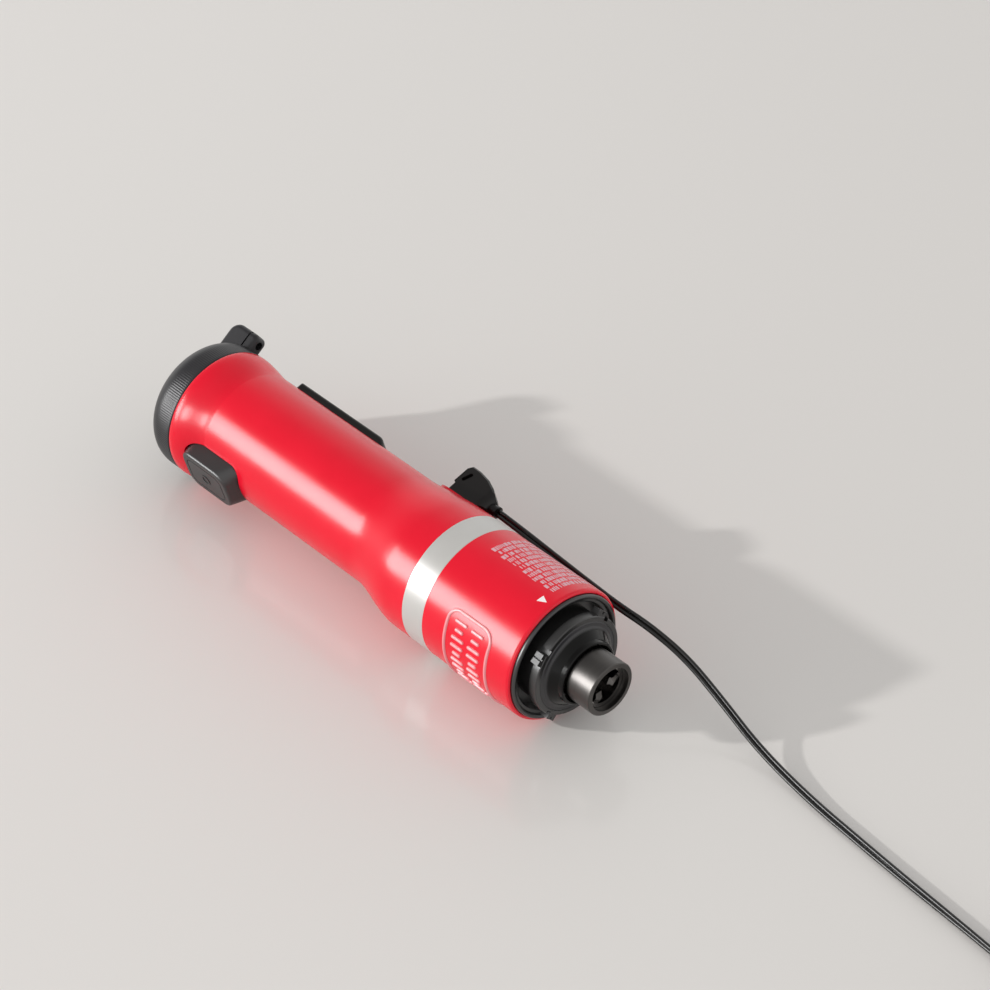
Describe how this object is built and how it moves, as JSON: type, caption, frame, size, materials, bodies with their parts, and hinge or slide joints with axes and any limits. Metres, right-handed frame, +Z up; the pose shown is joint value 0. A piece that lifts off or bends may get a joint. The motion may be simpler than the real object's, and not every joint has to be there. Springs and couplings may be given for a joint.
{
  "type": "hand blender motor unit",
  "caption": "Cordless hand-blender motor unit lying on its side: trigger, thumb button, speed dial, splined drive sleeve, bayonet nose and a charger lead.",
  "frame": {"origin": "middle of the unit's bounding box in plan, on the table plane; the charger lead and all that is on it are left out of that box", "axes": "+X along the motor axis from the speed dial to the drive end, +Z up from the table as the unit lies, +Y towards the side on which the charger lead leaves"},
  "size_m": [0.5776, 0.1113, 0.06],
  "materials": {
    "red_gloss": "glossy",
    "silver_satin": "satin",
    "raised_red": "glossy",
    "black_gloss": "glossy",
    "black_satin": "satin",
    "charcoal": "matte",
    "black_rubber": "matte",
    "gunmetal": "turned",
    "steel": "ground",
    "zinc_steel": "zinc plated",
    "copper": "enamelled wire",
    "magnet": "dull",
    "lamination": "dull",
    "carbon": "dull",
    "grey_plastic": "matte",
    "white_plastic": "matte",
    "cell_wrap": "shrink wrap",
    "nickel": "bright",
    "circuit_board": "solder mask",
    "chip": "matte",
    "spring_steel": "bright",
    "wire_insulation": "satin",
    "cord_black": "satin",
    "brass_contact": "bright"
  },
  "bodies": {
    "unit": {"grip_shell_left": "red_gloss", "grip_shell_right": "red_gloss", "shell_screws": "zinc_steel", "barrel_cover": "red_gloss", "silver_band": "silver_satin", "barrel_badge": "raised_red", "nose_cap": "black_gloss", "bayonet_ring": "black_gloss", "drive_collar": "black_gloss", "shaft_seal": "black_rubber", "motor_can": "zinc_steel", "motor_magnets": "magnet", "motor_end_cap": "black_satin", "carbon_brushes": "carbon", "rear_bearing": "steel", "front_bearing": "steel", "motor_mount": "grey_plastic", "motor_screws": "zinc_steel", "motor_damper": "black_rubber", "battery_cell_1": "cell_wrap", "battery_cell_2": "cell_wrap", "cell_tray": "grey_plastic", "cell_strips": "nickel", "main_board": "circuit_board", "board_parts": "chip", "charge_jack": "black_satin", "jack_board": "circuit_board", "speed_potentiometer": "grey_plastic", "motor_leads": "wire_insulation", "switch_frame": "grey_plastic", "trigger_switch": "chip", "lock_switch": "chip", "trigger_pin": "steel", "trigger_spring": "spring_steel", "lock_spring": "spring_steel", "end_plate": "black_satin", "port_cup": "red_gloss", "charge_plug": "black_satin", "plug_contact": "brass_contact", "charge_cord": "cord_black", "cord_coil": "cord_black", "cord_tail": "cord_black", "adapter_relief": "black_satin", "adapter_case": "black_satin", "adapter_prongs": "nickel"},
    "rotor": {"drive_sleeve": "gunmetal", "drive_socket": "black_satin", "motor_shaft": "steel", "rotor_core": "lamination", "rotor_windings": "copper", "commutator": "copper", "cooling_fan": "white_plastic"},
    "trigger": {"trigger_bar": "black_satin"},
    "thumb_button": {"lock_button": "black_rubber"},
    "dial": {"speed_dial": "charcoal", "hanging_tab": "charcoal", "dial_shaft": "grey_plastic"}
  },
  "joints": [
    {"name": "drive_spin", "type": "hinge", "parent": "unit", "child": "rotor", "pos_m": [0.10545, -0.00027, 0.03], "axis": [1, 0, 0], "continuous": true},
    {"name": "trigger_press", "type": "hinge", "parent": "unit", "child": "trigger", "pos_m": [-0.02605, 0.01954, 0.03568], "axis": [0, -0.2756, 0.9613], "range_deg": [0, 2.2], "stiffness_Nm_per_rad": 0.3, "springref_deg": -8.59, "deforming": ["trigger_spring"]},
    {"name": "thumb_button_press", "type": "slide", "parent": "unit", "child": "thumb_button", "axis": [0, 0.9613, 0.2756], "range_m": [0, 0.0016], "stiffness_N_per_m": 300, "springref_m": -0.003, "deforming": ["lock_spring"]},
    {"name": "dial_turn", "type": "hinge", "parent": "unit", "child": "dial", "pos_m": [-0.10955, -0.00027, 0.03], "axis": [1, 0, 0], "range_deg": [-70, 70]}
  ]
}
